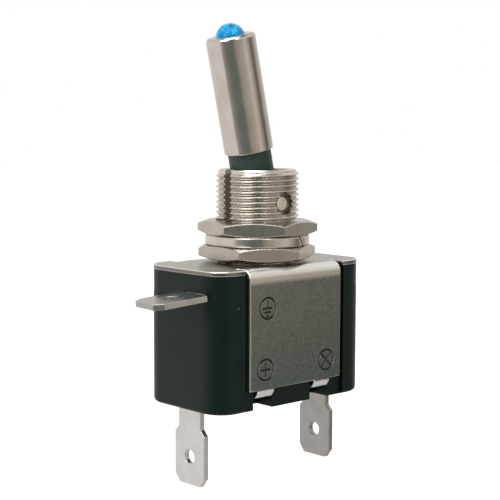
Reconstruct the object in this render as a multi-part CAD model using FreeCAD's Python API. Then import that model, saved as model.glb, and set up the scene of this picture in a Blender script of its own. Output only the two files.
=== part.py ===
import FreeCAD, Part
import math
import os

# Panel toggle switch with a lamp in its lever. Millimetres.
# The origin is on the bushing's axis, on the top face of the upper nut, where a panel seats.
# +Z runs up the bushing, X along the housing's long side, Y across it.
# The lever is drawn leaning towards -X, the off position.

# Bushing and its thread
thread_diameter = 12.0
bushing_exposed_height = 7.3
bushing_bore = 9.2
bushing_rim_chamfer = 0.55
bushing_tail_diameter = 10.8
swage_diameter = 12.4
swage_height = 0.8
keyway_width = 1.4
keyway_depth = 1.0
seat_relief_top = 0.1
seat_relief_width = 1.1
seat_relief_depth = 0.4

# Nuts and lock washer
nut_across_flats = 15.0
nut_thickness = 2.0
nut_face_diameter = 14.6
nut_chamfer_angle = 20.0
nut_bore_clearance = 0.05
upper_nut_turn = 14.3
lower_nut_turn = 30.0
washer_diameter = 15.0
washer_thickness = 1.45
washer_bore_clearance = 0.15
washer_split_width = 0.25
washer_split_direction = -75.5
washer_split_slant = 35.0
nut_to_bracket_gap = 0.5

# Housing: a base and a cover that meet at the parting line
housing_length = 28.9
housing_width = 16.2
housing_corner_radius = 3.5
housing_depth = 18.95
cover_height = 3.15
cover_inset = 0.04
cover_roof = 1.2
end_wall = 1.6
side_wall = 1.5
floor_thickness = 2.0
bottom_edge_radius = 0.6
spigot_length = 16.0
spigot_thickness = 0.8
spigot_height = 1.0
spigot_clearance = 0.05
swage_pocket_clearance = 0.3

# Mounting bracket, folded from one sheet
sheet_thickness = 0.7
flange_width = 17.8
flange_drop = 16.15
flange_stand_out = 0.15
bend_inner_radius = 0.8
relief_width = 0.6
relief_depth = 1.0
flange_side_clearance = 0.75
tab_width = 3.1
tab_spacing = 11.0
tab_shift = -0.35
tab_length = 0.85
tab_bend = 33.0
notch_width = 3.6
notch_depth = 3.2
notch_height = 1.4

# Stamped marks on the front flange
mark_diameter = 3.2
mark_line = 0.28
mark_depth = 0.12
mark_side_offset = 5.95
earth_mark_offset = 5.6
earth_mark_drop = 5.5
lower_mark_drop = 14.05

# Lever
pivot_height = 2.56
lever_lean = 12.8
shaft_diameter = 6.2
hub_clearance = 0.15
stem_diameter = 4.0
stem_taper_start = 2.9
stem_taper_end = 6.2
stem_root_diameter = 6.4
pin_diameter = 2.2
pin_clearance = 0.05
pin_recess = 0.8
pin_counterbore_diameter = 3.05

# Sleeve over the lever
sleeve_diameter = 7.0
sleeve_wall = 0.38
sleeve_start = 7.6
sleeve_end = 24.1
sleeve_lip = 0.55
sleeve_top_radius = 0.6
sleeve_clearance = 0.02

# Lamp, its leads and its resistor
lamp_diameter = 4.2
lamp_proud = 1.65
lamp_clearance = 0.05
lamp_flange_diameter = 4.9
lamp_flange_height = 0.8
lamp_seat = 20.4
lead_bore = 3.4
lead_bore_floor = 5.2
lead_diameter = 0.5
lead_pitch = 1.27
lead_hole_clearance = 0.15
resistor_diameter = 1.6
resistor_length = 3.5
resistor_top = 14.5
resistor_offset = 0.75
resistor_joint = 15.3
bypass_offset = 1.65
bypass_top = 6.6
bypass_turn = 1.9
bypass_bottom = 3.9
spring_button_diameter = 2.2
spring_button_thickness = 0.3

# Plunger and its spring
plunger_diameter = 2.6
plunger_clearance = 0.05
plunger_length = 5.98
plunger_exposed = 2.78
plunger_tail_diameter = 1.3
plunger_tail_length = 2.4
plunger_bore_top = 6.2
spring_wire = 0.3
spring_mean_diameter = 2.0
spring_turns = 8

# Rocker contact and its fulcrum
fulcrum_above_floor = 3.6
rocker_lean = 8.0
rocker_thickness = 0.6
rocker_width = 6.0
rocker_end_gap = 2.6
rocker_crown = 1.2
rocker_tip_clearance = 0.08
rocker_side_clearance = 0.15
guide_rib_thickness = 1.6
guide_rib_rise = 3.0
trough_margin = 0.5
saddle_width = 2.2
saddle_height = 0.8
fulcrum_clearance = 0.05

# Contact buttons
contact_inset = 1.5
contact_diameter = 3.2
moving_contact_rim = 0.35
contact_dome_radius = 3.0
fixed_contact_height = 0.6
contact_gap = 0.05
stop_gap = 0.1
stop_post_length = 2.2

# Blade terminals
blade_thickness = 0.8
blade_width = 6.3
blade_inset = 2.05
blade_length = 11.05
blade_hole_diameter = 2.0
blade_hole_from_tip = 4.0
blade_tip_chamfer_along = 1.25
blade_tip_chamfer_across = 0.95
neck_width = 4.7
neck_length = 2.9
shoulder_height = 0.85
slot_clearance = 0.03
arm_overhang = 0.3

# Earth terminal at the side
earth_blade_length = 7.95
earth_hole_from_tip = 4.15
earth_offset = -3.6
earth_droop = 4.9
earth_swing = 7.0
earth_neck_width = 3.6
earth_finger_width = 2.6
earth_finger_end = 4.7
earth_knee = 9.0
earth_contact_gap = 0.02
earth_bend_stand_off = 0.4
earth_slot_clearance = 0.15

# Heights that follow from the sizes above
upper_nut_top = 0.0
washer_top = upper_nut_top - nut_thickness
lower_nut_top = washer_top - washer_thickness
lower_nut_bottom = lower_nut_top - nut_thickness
bracket_top = lower_nut_bottom - nut_to_bracket_gap
bracket_bottom = bracket_top - sheet_thickness
parting_height = bracket_bottom - cover_height
housing_bottom = bracket_bottom - housing_depth
floor_top = housing_bottom + floor_thickness
flange_bottom = bracket_bottom - flange_drop
blade_tip = housing_bottom - blade_length
swage_bottom = bracket_bottom - swage_height

half_length = housing_length / 2
half_width = housing_width / 2
flange_face = half_width + flange_stand_out
recess_face = flange_face - sheet_thickness
cavity_half_length = half_length - end_wall
cavity_half_width = recess_face - side_wall
thread_radius = thread_diameter / 2
bore_radius = bushing_bore / 2
plunger_radius = plunger_diameter / 2
fulcrum_height = floor_top + fulcrum_above_floor
fulcrum_depth = pivot_height - fulcrum_height
tip_reach = fulcrum_depth - rocker_crown - rocker_tip_clearance - plunger_radius
plunger_shoulder = tip_reach - plunger_length
stem_length = tip_reach - plunger_exposed
half_blade = half_length - blade_inset
rocker_half_length = half_blade - rocker_end_gap
contact_offset = rocker_half_length - contact_inset
arm_end = contact_offset - contact_diameter / 2 - arm_overhang

X_AXIS = FreeCAD.Vector(1, 0, 0)
Y_AXIS = FreeCAD.Vector(0, 1, 0)
Z_AXIS = FreeCAD.Vector(0, 0, 1)
ORIGIN = FreeCAD.Vector(0, 0, 0)
PIVOT = FreeCAD.Vector(0, 0, pivot_height)
FULCRUM = FreeCAD.Vector(0, 0, fulcrum_height)

# A cut runs this far past the faces that it goes through
PAST = 1.0


def vector(x, y, z):
    return FreeCAD.Vector(x, y, z)


def block(x_low, x_high, y_low, y_high, z_low, z_high):
    return Part.makeBox(x_high - x_low, y_high - y_low, z_high - z_low, vector(x_low, y_low, z_low))


def upright_cylinder(radius, z_low, z_high, x=0.0, y=0.0):
    return Part.makeCylinder(radius, z_high - z_low, vector(x, y, z_low), Z_AXIS)


def cylinder_along(radius, start, end):
    return Part.makeCylinder(radius, (end - start).Length, start, end - start)


def prism_along_x(points, x_low, x_high):
    """Extrude an outline of (y, z) points from x_low to x_high."""
    corners = [vector(x_low, y, z) for y, z in points]
    face = Part.Face(Part.makePolygon(corners + corners[:1]))
    return face.extrude(vector(x_high - x_low, 0, 0))


def prism_along_y(points, half_span, y=0.0):
    """Extrude an outline of (x, z) points to half_span on each side of y."""
    corners = [vector(x, y - half_span, z) for x, z in points]
    face = Part.Face(Part.makePolygon(corners + corners[:1]))
    return face.extrude(vector(0, 2 * half_span, 0))


def revolved(points):
    """Turn an outline of (radius, z) points about the Z axis."""
    corners = [vector(radius, 0, z) for radius, z in points]
    face = Part.Face(Part.makePolygon(corners + corners[:1]))
    return face.revolve(ORIGIN, Z_AXIS, 360)


def rounded_slab(length, width, radius, z_low, z_high):
    """A block with its four upright corners rounded."""
    slab = block(-length / 2, length / 2, -width / 2, width / 2, z_low, z_high)
    uprights = [edge for edge in slab.Edges if edge.BoundBox.XLength + edge.BoundBox.YLength < radius / 10]
    return slab.makeFillet(radius, uprights)


def edges_near(shape, test):
    """The edges whose box centre passes the test."""
    return [edge for edge in shape.Edges if test(edge.BoundBox)]


def turned(shape, degrees, axis, centre):
    copy = shape.copy()
    copy.rotate(centre, axis, degrees)
    return copy


def on_lever(shape):
    """Put a piece drawn upright about the pivot where the leaning lever holds it."""
    copy = turned(shape, -lever_lean, Y_AXIS, ORIGIN)
    copy.translate(PIVOT)
    return copy


def on_rocker(shape):
    """Put a piece drawn level about the fulcrum where the leaning rocker holds it."""
    copy = turned(shape, rocker_lean, Y_AXIS, ORIGIN)
    copy.translate(FULCRUM)
    return copy


def wire_rod(points, diameter):
    """A round wire along straight runs, with a ball at each turn."""
    rod = cylinder_along(diameter / 2, points[0], points[1])
    for start, end in zip(points[1:], points[2:]):
        rod = rod.fuse(Part.makeSphere(diameter / 2, start))
        rod = rod.fuse(cylinder_along(diameter / 2, start, end))
    return rod.removeSplitter()


def fixed_frame_points(share):
    """Where the plunger tip's centre is, seen from the rocker, for a share of the lever's lean."""
    lean = math.radians(lever_lean * share)
    tilt = math.radians(rocker_lean * share)
    across = tip_reach * math.sin(lean)
    height = fulcrum_depth - tip_reach * math.cos(lean)
    along = across * math.cos(tilt) - height * math.sin(tilt)
    rise = across * math.sin(tilt) + height * math.cos(tilt)
    return along, rise


# Threaded bushing

def threaded_bushing():
    rim_radius = thread_radius - bushing_rim_chamfer
    tail_radius = bushing_tail_diameter / 2
    relief_radius = thread_radius - seat_relief_depth
    seat_relief_bottom = seat_relief_top - seat_relief_width
    outline = [
        (bore_radius, bushing_exposed_height),
        (rim_radius, bushing_exposed_height),
        (thread_radius, bushing_exposed_height - bushing_rim_chamfer),
        (thread_radius, seat_relief_top),
        (relief_radius, seat_relief_top),
        (relief_radius, seat_relief_bottom),
        (thread_radius, seat_relief_bottom),
        (thread_radius, bracket_top),
        (tail_radius, bracket_top),
        (tail_radius, bracket_bottom),
        (swage_diameter / 2, bracket_bottom),
        (swage_diameter / 2, swage_bottom),
        (bore_radius, swage_bottom),
    ]
    bushing = turned(revolved(outline), 180, Z_AXIS, ORIGIN)
    keyway_floor = thread_radius - keyway_depth
    half_key = keyway_width / 2
    keyway = block(-thread_radius - PAST, -keyway_floor, -half_key, half_key,
                   bracket_top, bushing_exposed_height + PAST)
    bushing = bushing.cut(keyway)
    pin_hole = Part.makeCylinder(pin_diameter / 2, 2 * thread_radius + 2 * PAST,
                                 vector(0, -thread_radius - PAST, pivot_height), Y_AXIS)
    bushing = bushing.cut(pin_hole)
    for side in (-1, 1):
        counterbore = Part.makeCylinder(pin_counterbore_diameter / 2, pin_recess + PAST,
                                        vector(0, side * (thread_radius - pin_recess), pivot_height),
                                        Y_AXIS * side)
        bushing = bushing.cut(counterbore)
    return bushing


def pivot_pin():
    half_span = thread_radius - pin_recess
    pin = Part.makeCylinder(pin_diameter / 2, 2 * half_span, vector(0, -half_span, pivot_height), Y_AXIS)
    return pin


# Nuts and lock washer

def hex_nut(top, turn):
    corner_radius = nut_across_flats / math.sqrt(3)
    face_radius = nut_face_diameter / 2
    drop = (corner_radius + PAST - face_radius) * math.tan(math.radians(nut_chamfer_angle))
    corners = []
    for index in range(6):
        angle = math.radians(60 * index + turn)
        corners.append(vector(corner_radius * math.cos(angle), corner_radius * math.sin(angle), 0))
    hexagon = Part.Face(Part.makePolygon(corners + corners[:1])).extrude(Z_AXIS * nut_thickness)
    lens = revolved([
        (0, 0),
        (face_radius, 0),
        (corner_radius + PAST, drop),
        (corner_radius + PAST, nut_thickness - drop),
        (face_radius, nut_thickness),
        (0, nut_thickness),
    ])
    hole = upright_cylinder(thread_radius + nut_bore_clearance, -PAST, nut_thickness + PAST)
    nut = hexagon.common(lens).cut(hole)
    nut.translate(vector(0, 0, top - nut_thickness))
    return nut


def lock_washer():
    outer = washer_diameter / 2
    inner = thread_radius + washer_bore_clearance
    ring = upright_cylinder(outer, lower_nut_top, washer_top)
    ring = ring.cut(upright_cylinder(inner, lower_nut_top - PAST, washer_top + PAST))
    middle = (lower_nut_top + washer_top) / 2
    half_split = washer_split_width / 2
    cutter = block(inner - PAST, outer + PAST, -half_split, half_split,
                   -washer_thickness * 2, washer_thickness * 2)
    cutter = turned(cutter, washer_split_slant, X_AXIS, ORIGIN)
    cutter = turned(cutter, washer_split_direction, Z_AXIS, ORIGIN)
    cutter.translate(vector(0, 0, middle))
    return ring.cut(cutter)


# Mounting bracket

def flange_profile():
    """The section of one folded side, as (y, z) points and an arc, for the side at -Y."""
    outer_radius = bend_inner_radius + sheet_thickness
    centre_y = -(flange_face - outer_radius)
    centre_z = bracket_top - outer_radius
    slope = math.radians(45)

    def on_arc(radius, angle):
        return vector(0, centre_y - radius * math.sin(angle), centre_z + radius * math.cos(angle))

    outer_top = on_arc(outer_radius, 0)
    outer_side = vector(0, -flange_face, centre_z)
    inner_top = on_arc(bend_inner_radius, 0)
    inner_side = vector(0, -recess_face, centre_z)
    outer_foot = vector(0, -flange_face, flange_bottom)
    inner_foot = vector(0, -recess_face, flange_bottom)
    edges = [
        Part.Arc(outer_top, on_arc(outer_radius, slope), outer_side).toShape(),
        Part.makeLine(outer_side, outer_foot),
        Part.makeLine(outer_foot, inner_foot),
        Part.makeLine(inner_foot, inner_side),
        Part.Arc(inner_side, on_arc(bend_inner_radius, slope), inner_top).toShape(),
        Part.makeLine(inner_top, outer_top),
    ]
    return Part.Face(Part.Wire(edges))


def crimp_tab(centre_x):
    """A tab at the foot of the -Y flange, bent in under the housing's side."""
    bend = math.radians(tab_bend)
    inward = vector(0, math.sin(bend), -math.cos(bend))
    outward = vector(0, -math.cos(bend), -math.sin(bend))
    hinge = vector(0, -recess_face, flange_bottom)
    outer_start = vector(0, -flange_face, flange_bottom)
    outer_middle = hinge + vector(0, -math.cos(bend / 2), -math.sin(bend / 2)) * sheet_thickness
    outer_end = hinge + outward * sheet_thickness
    tip_outer = outer_end + inward * tab_length
    tip_inner = hinge + inward * tab_length
    edges = [
        Part.Arc(outer_start, outer_middle, outer_end).toShape(),
        Part.makeLine(outer_end, tip_outer),
        Part.makeLine(tip_outer, tip_inner),
        Part.makeLine(tip_inner, hinge),
        Part.makeLine(hinge, outer_start),
    ]
    tab = Part.Face(Part.Wire(edges)).extrude(X_AXIS * tab_width)
    tab.translate(vector(centre_x - tab_width / 2, 0, 0))
    return tab


def stamped_mark(centre_x, centre_z, bars):
    """A ring and straight bars sunk into the -Y flange. A bar is x, z, length and turn."""
    front = -flange_face
    outer = Part.makeCylinder(mark_diameter / 2, mark_depth + PAST,
                              vector(centre_x, front - PAST, centre_z), Y_AXIS)
    inner = Part.makeCylinder(mark_diameter / 2 - mark_line, mark_depth + 3 * PAST,
                              vector(centre_x, front - 2 * PAST, centre_z), Y_AXIS)
    mark = outer.cut(inner)
    for x, z, length, turn in bars:
        bar = block(-length / 2, length / 2, front - PAST, front + mark_depth, -mark_line / 2, mark_line / 2)
        bar = turned(bar, turn, Y_AXIS, ORIGIN)
        bar.translate(vector(centre_x + x, 0, centre_z + z))
        mark = mark.fuse(bar)
    return mark


def mounting_bracket():
    plate = rounded_slab(housing_length, housing_width, housing_corner_radius, bracket_bottom, bracket_top)
    outer_radius = bend_inner_radius + sheet_thickness
    half_flange = flange_width / 2
    bend_line = flange_face - outer_radius
    relief_inner = bend_line - relief_depth
    tail_hole = upright_cylinder(bushing_tail_diameter / 2, bracket_bottom - PAST, bracket_top + PAST)
    plate = plate.cut(tail_hole)
    bracket = plate
    for side in (-1, 1):
        low = min(side * bend_line, side * (half_width + PAST))
        high = max(side * bend_line, side * (half_width + PAST))
        bracket = bracket.cut(block(-half_flange, half_flange, low, high,
                                    bracket_bottom - PAST, bracket_top + PAST))
        low = min(side * relief_inner, side * (half_width + PAST))
        high = max(side * relief_inner, side * (half_width + PAST))
        for end in (-1, 1):
            near = min(end * half_flange, end * (half_flange + relief_width))
            far = max(end * half_flange, end * (half_flange + relief_width))
            bracket = bracket.cut(block(near, far, low, high, bracket_bottom - PAST, bracket_top + PAST))
    flange = flange_profile().extrude(X_AXIS * flange_width)
    flange.translate(vector(-half_flange, 0, 0))
    for side in (-1, 1):
        flange = flange.fuse(crimp_tab(side * tab_spacing / 2 + tab_shift))
    back_flange = turned(flange, 180, Z_AXIS, ORIGIN)
    arm = mark_diameter * 0.62
    plus_bars = [(0, 0, arm, 0), (0, 0, arm, 90)]
    lamp_bars = [(0, 0, mark_diameter - mark_line, 45), (0, 0, mark_diameter - mark_line, -45)]
    step = mark_diameter * 0.17
    earth_bars = [
        (0, step, 2 * step, 90),
        (0, 0, arm, 0),
        (0, -step, arm * 0.66, 0),
        (0, -2 * step, arm * 0.33, 0),
    ]
    flange = flange.cut(stamped_mark(-earth_mark_offset, bracket_top - earth_mark_drop, earth_bars))
    flange = flange.cut(stamped_mark(-mark_side_offset, bracket_top - lower_mark_drop, plus_bars))
    flange = flange.cut(stamped_mark(mark_side_offset, bracket_top - lower_mark_drop, lamp_bars))
    return bracket.fuse(flange).fuse(back_flange).removeSplitter()


# Housing

def cut_flange_recesses(shell, z_low, z_high):
    """Sink the two long sides where the bracket's flanges lie."""
    half_recess = flange_width / 2 + flange_side_clearance
    for side in (-1, 1):
        low = min(side * recess_face, side * (half_width + PAST))
        high = max(side * recess_face, side * (half_width + PAST))
        shell = shell.cut(block(-half_recess, half_recess, low, high, z_low - PAST, z_high + PAST))
    return shell


def lower_housing():
    shell = rounded_slab(housing_length, housing_width, housing_corner_radius, housing_bottom, parting_height)
    rim = edges_near(shell, lambda box: box.ZMax < housing_bottom + bottom_edge_radius / 2)
    shell = shell.makeFillet(bottom_edge_radius, rim)
    shell = cut_flange_recesses(shell, housing_bottom, parting_height)
    cavity = block(-cavity_half_length, cavity_half_length, -cavity_half_width, cavity_half_width,
                   floor_top, parting_height + PAST)
    shell = shell.cut(cavity)
    bend = math.radians(tab_bend)
    for side in (-1, 1):
        for end in (-1, 1):
            middle = end * tab_spacing / 2 - side * tab_shift
            low = min(side * (recess_face - notch_depth), side * (half_width + PAST))
            high = max(side * (recess_face - notch_depth), side * (half_width + PAST))
            notch = block(middle - notch_width / 2, middle + notch_width / 2, low, high,
                          housing_bottom - PAST, housing_bottom + notch_height)
            run = flange_bottom - housing_bottom - notch_height
            ramp = prism_along_x([
                (-recess_face, flange_bottom),
                (-recess_face + run * math.tan(bend), flange_bottom - run),
                (-recess_face - PAST, flange_bottom - run),
                (-recess_face - PAST, flange_bottom),
            ], middle - notch_width / 2, middle + notch_width / 2)
            if side > 0:
                ramp = ramp.mirror(ORIGIN, Y_AXIS)
            shell = shell.cut(notch).cut(ramp)
    for end in (-1, 1):
        slot = block(end * half_blade - blade_thickness / 2 - slot_clearance,
                     end * half_blade + blade_thickness / 2 + slot_clearance,
                     -neck_width / 2 - slot_clearance, neck_width / 2 + slot_clearance,
                     housing_bottom - PAST, floor_top + PAST)
        shell = shell.cut(slot)
    pedestal = block(-half_blade + blade_thickness / 2 + stop_gap, -arm_end, -neck_width / 2, neck_width / 2,
                     floor_top - PAST / 2, power_arm_bottom())
    shell = shell.fuse(pedestal)
    post_end = contact_offset + stop_post_length
    for side in (-1, 1):
        low = min(side * (neck_width / 2 + stop_gap), side * (cavity_half_width + PAST / 2))
        high = max(side * (neck_width / 2 + stop_gap), side * (cavity_half_width + PAST / 2))
        shell = shell.fuse(block(contact_offset, post_end, low, high, floor_top - PAST / 2, stop_post_top()))
        low = min(side * (rocker_width / 2 + rocker_side_clearance), side * (cavity_half_width + PAST / 2))
        high = max(side * (rocker_width / 2 + rocker_side_clearance), side * (cavity_half_width + PAST / 2))
        shell = shell.fuse(block(-guide_rib_thickness / 2, guide_rib_thickness / 2, low, high,
                                 floor_top - PAST / 2, fulcrum_height + guide_rib_rise))
    return shell.removeSplitter()


def upper_housing():
    length = housing_length - 2 * cover_inset
    width = housing_width - 2 * cover_inset
    radius = housing_corner_radius - cover_inset
    shell = rounded_slab(length, width, radius, parting_height, bracket_bottom)
    shell = cut_flange_recesses(shell, parting_height, bracket_bottom)
    top_edges = edges_near(shell, lambda box: box.ZMin > bracket_bottom - sheet_thickness / 10
                           and box.YLength < sheet_thickness / 10
                           and box.XLength > flange_width
                           and abs(box.Center.y) > recess_face - sheet_thickness / 10)
    shell = shell.makeFillet(bend_inner_radius + cover_inset, top_edges)
    cavity = block(-cavity_half_length, cavity_half_length, -cavity_half_width, cavity_half_width,
                   parting_height - PAST, bracket_bottom - cover_roof)
    shell = shell.cut(cavity)
    mouth = upright_cylinder(swage_diameter / 2 + swage_pocket_clearance,
                             parting_height - PAST, bracket_bottom + PAST)
    shell = shell.cut(mouth)
    outer = cavity_half_width - spigot_clearance
    for side in (-1, 1):
        low = min(side * (outer - spigot_thickness), side * outer)
        high = max(side * (outer - spigot_thickness), side * outer)
        spigot = block(-spigot_length / 2, spigot_length / 2, low, high,
                       parting_height - spigot_height, bracket_bottom - cover_roof)
        shell = shell.fuse(spigot)
    slot = block(-half_length - PAST, -cavity_half_length + PAST,
                 earth_offset - earth_neck_width / 2 - slot_clearance,
                 earth_offset + earth_neck_width / 2 + slot_clearance,
                 parting_height - PAST, parting_height + blade_thickness + slot_clearance)
    finger_half = earth_finger_width / 2 + earth_slot_clearance
    finger_way = block(-earth_knee, 0, earth_offset - finger_half, earth_offset + finger_half,
                       parting_height, bracket_bottom + PAST)
    return shell.cut(slot).cut(finger_way).removeSplitter()


# Lever and what it carries

def toggle_lever():
    hub_radius = bore_radius - hub_clearance
    shaft_top = sleeve_end - sleeve_lip
    lever = Part.makeSphere(hub_radius)
    lever = lever.fuse(upright_cylinder(shaft_diameter / 2, 0, shaft_top))
    lever = lever.fuse(upright_cylinder(stem_diameter / 2, -stem_length, 0))
    taper = Part.makeCone(stem_diameter / 2, stem_root_diameter / 2, stem_taper_end - stem_taper_start,
                          vector(0, 0, -stem_taper_end), Z_AXIS)
    lever = lever.fuse(taper)
    pin_hole = Part.makeCylinder(pin_diameter / 2 + pin_clearance, 2 * bushing_bore,
                                 vector(0, -bushing_bore, 0), Y_AXIS)
    lever = lever.cut(pin_hole)
    lamp_pocket = upright_cylinder(lamp_flange_diameter / 2 + lamp_clearance, lamp_seat, shaft_top + PAST)
    lever = lever.cut(lamp_pocket)
    lever = lever.cut(upright_cylinder(lead_bore / 2, lead_bore_floor, lamp_seat + PAST))
    small_hole = lead_diameter / 2 + lead_hole_clearance
    lever = lever.cut(upright_cylinder(small_hole, 0, lead_bore_floor + PAST))
    bypass_low = bypass_offset - small_hole
    bypass_high = bypass_offset + small_hole
    lever = lever.cut(block(bypass_low, bypass_high, -small_hole, small_hole, -bypass_turn, bypass_top))
    lever = lever.cut(block(-small_hole, bypass_high, -small_hole, small_hole, -bypass_bottom, -bypass_turn + small_hole))
    lever = lever.cut(upright_cylinder(small_hole, -plunger_bore_top - PAST, -bypass_bottom + small_hole))
    plunger_bore = upright_cylinder(plunger_radius + plunger_clearance, -stem_length - PAST, -plunger_bore_top)
    return on_lever(lever.cut(plunger_bore).removeSplitter())


def lever_sleeve():
    outer = sleeve_diameter / 2
    inner = shaft_diameter / 2 + sleeve_clearance
    opening = lamp_diameter / 2 + lamp_clearance
    tube = upright_cylinder(outer, sleeve_start, sleeve_end)
    rim = edges_near(tube, lambda box: box.ZMin > sleeve_end - sleeve_top_radius / 2)
    tube = tube.makeFillet(sleeve_top_radius, rim)
    tube = tube.cut(upright_cylinder(inner, sleeve_start - PAST, sleeve_end - sleeve_lip))
    return on_lever(tube.cut(upright_cylinder(opening, sleeve_start, sleeve_end + PAST)))


def led_lamp():
    radius = lamp_diameter / 2
    dome_base = sleeve_end + lamp_proud - radius
    body = upright_cylinder(radius, lamp_seat, dome_base)
    dome = Part.makeSphere(radius, vector(0, 0, dome_base))
    flange = upright_cylinder(lamp_flange_diameter / 2, lamp_seat, lamp_seat + lamp_flange_height)
    return on_lever(body.fuse([dome, flange]).removeSplitter())


def led_cathode_lead():
    side = -lead_pitch / 2
    pin_top = pin_diameter / 2 + pin_clearance
    lead = wire_rod([
        vector(side, 0, lamp_seat),
        vector(side, 0, lead_bore_floor + lead_bore / 2),
        vector(0, 0, lead_bore_floor + lead_diameter),
        vector(0, 0, pin_top),
    ], lead_diameter)
    return on_lever(lead)


def led_anode_lead():
    side = lead_pitch / 2
    lead = wire_rod([
        vector(side, 0, lamp_seat),
        vector(side, 0, resistor_joint + lead_bore / 2),
        vector(resistor_offset, 0, resistor_joint + lead_bore / 4),
        vector(resistor_offset, 0, resistor_joint),
    ], lead_diameter)
    return on_lever(lead)


def led_resistor():
    bottom = resistor_top - resistor_length
    body = upright_cylinder(resistor_diameter / 2, bottom, resistor_top, resistor_offset)
    body = body.makeFillet(resistor_diameter / 4, edges_near(body, lambda box: box.ZLength < resistor_diameter / 4))
    upper = wire_rod([vector(resistor_offset, 0, resistor_top - lead_diameter),
                      vector(resistor_offset, 0, resistor_joint)], lead_diameter)
    button_top = -plunger_bore_top
    lower = wire_rod([
        vector(resistor_offset, 0, bottom + lead_diameter),
        vector(resistor_offset, 0, bypass_top - lead_hole_clearance),
        vector(bypass_offset, 0, bypass_top - lead_hole_clearance - lead_diameter),
        vector(bypass_offset, 0, -bypass_turn),
        vector(0, 0, -bypass_bottom + lead_diameter),
        vector(0, 0, button_top - spring_button_thickness / 2),
    ], lead_diameter)
    button = upright_cylinder(spring_button_diameter / 2, button_top - spring_button_thickness, button_top)
    return on_lever(body.fuse([upper, lower, button]).removeSplitter())


# Plunger and spring

def plunger():
    shank = upright_cylinder(plunger_radius, -tip_reach, -plunger_shoulder)
    tip = Part.makeSphere(plunger_radius, vector(0, 0, -tip_reach))
    tail = upright_cylinder(plunger_tail_diameter / 2, -plunger_shoulder, -plunger_shoulder + plunger_tail_length)
    return on_lever(shank.fuse([tip, tail]).removeSplitter())


def plunger_spring():
    low = -plunger_shoulder + spring_wire / 2
    high = -plunger_bore_top - spring_button_thickness - spring_wire / 2
    radius = spring_mean_diameter / 2
    helix = Part.makeHelix((high - low) / spring_turns, high - low, radius)
    helix.translate(vector(0, 0, low))
    section = Part.Wire(Part.makeCircle(spring_wire / 2, vector(radius, 0, low), Y_AXIS))
    return on_lever(Part.Wire(helix).makePipeShell([section], True, True))


# Rocker and contacts

def trough_radius():
    """The radius that the plunger tip's centre follows, seen from the rocker."""
    along, rise = fixed_frame_points(1.0)
    climb = rise - fixed_frame_points(0.0)[1]
    return (along * along + climb * climb) / (2 * climb)


def trough_edge():
    """Half the trough's width: where the tip touches at the end of the throw, and a margin."""
    along = fixed_frame_points(1.0)[0]
    path = trough_radius()
    return along * (path + plunger_radius) / path + trough_margin


def wing_height():
    """How far the rocker's wings stand above the fulcrum, at their upper face."""
    surface = trough_radius() + plunger_radius + rocker_tip_clearance
    edge = trough_edge()
    return rocker_crown + surface - math.sqrt(surface * surface - edge * edge)


def rocker_contact():
    surface = trough_radius() + plunger_radius + rocker_tip_clearance
    centre = rocker_crown + surface
    edge = trough_edge()
    top = wing_height()
    low_radius = surface + rocker_thickness
    low_edge = edge + rocker_thickness / 2
    low_height = centre - math.sqrt(low_radius * low_radius - low_edge * low_edge)
    under = top - rocker_thickness
    y = -rocker_width / 2
    end = rocker_half_length
    arc_top = Part.Arc(vector(-edge, y, top), vector(0, y, rocker_crown), vector(edge, y, top))
    arc_low = Part.Arc(vector(low_edge, y, low_height), vector(0, y, centre - low_radius),
                       vector(-low_edge, y, low_height))
    edges = [
        arc_top.toShape(),
        Part.makeLine(vector(edge, y, top), vector(end, y, top)),
        Part.makeLine(vector(end, y, top), vector(end, y, under)),
        Part.makeLine(vector(end, y, under), vector(low_edge + rocker_thickness / 2, y, under)),
        Part.makeLine(vector(low_edge + rocker_thickness / 2, y, under), vector(low_edge, y, low_height)),
        arc_low.toShape(),
        Part.makeLine(vector(-low_edge, y, low_height), vector(-low_edge - rocker_thickness / 2, y, under)),
        Part.makeLine(vector(-low_edge - rocker_thickness / 2, y, under), vector(-end, y, under)),
        Part.makeLine(vector(-end, y, under), vector(-end, y, top)),
        Part.makeLine(vector(-end, y, top), vector(-edge, y, top)),
    ]
    blade = Part.Face(Part.Wire(edges)).extrude(Y_AXIS * rocker_width)
    saddle = block(-saddle_width / 2, saddle_width / 2, -rocker_width / 2, rocker_width / 2, 0, saddle_height)
    groove = Part.makeCylinder(blade_thickness / 2 + fulcrum_clearance, rocker_width + 2 * PAST,
                               vector(0, -rocker_width / 2 - PAST, 0), Y_AXIS)
    return on_rocker(blade.fuse(saddle).cut(groove).removeSplitter())


def dome_drop():
    return contact_dome_radius - math.sqrt(contact_dome_radius ** 2 - (contact_diameter / 2) ** 2)


def moving_contact_button():
    top = wing_height() - rocker_thickness
    radius = contact_diameter / 2
    rim = upright_cylinder(radius, top - moving_contact_rim, top, -contact_offset)
    sphere_height = top - moving_contact_rim - dome_drop() + contact_dome_radius
    sphere = Part.makeSphere(contact_dome_radius, vector(-contact_offset, 0, sphere_height))
    column = upright_cylinder(radius, top - moving_contact_rim - 2 * dome_drop(), top - moving_contact_rim / 2,
                              -contact_offset)
    return on_rocker(rim.fuse(sphere.common(column)).removeSplitter())


def closed_contact_height():
    """The lowest point of the moving contact when the lever is thrown over."""
    tilt = math.radians(rocker_lean)
    top = wing_height() - rocker_thickness
    sphere_height = top - moving_contact_rim - dome_drop() + contact_dome_radius
    centre = fulcrum_height + sphere_height * math.cos(tilt) - contact_offset * math.sin(tilt)
    return centre - contact_dome_radius


def fixed_contact_top():
    return closed_contact_height() - contact_gap


def power_arm_top():
    return fixed_contact_top() - fixed_contact_height


def power_arm_bottom():
    return power_arm_top() - blade_thickness


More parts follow.
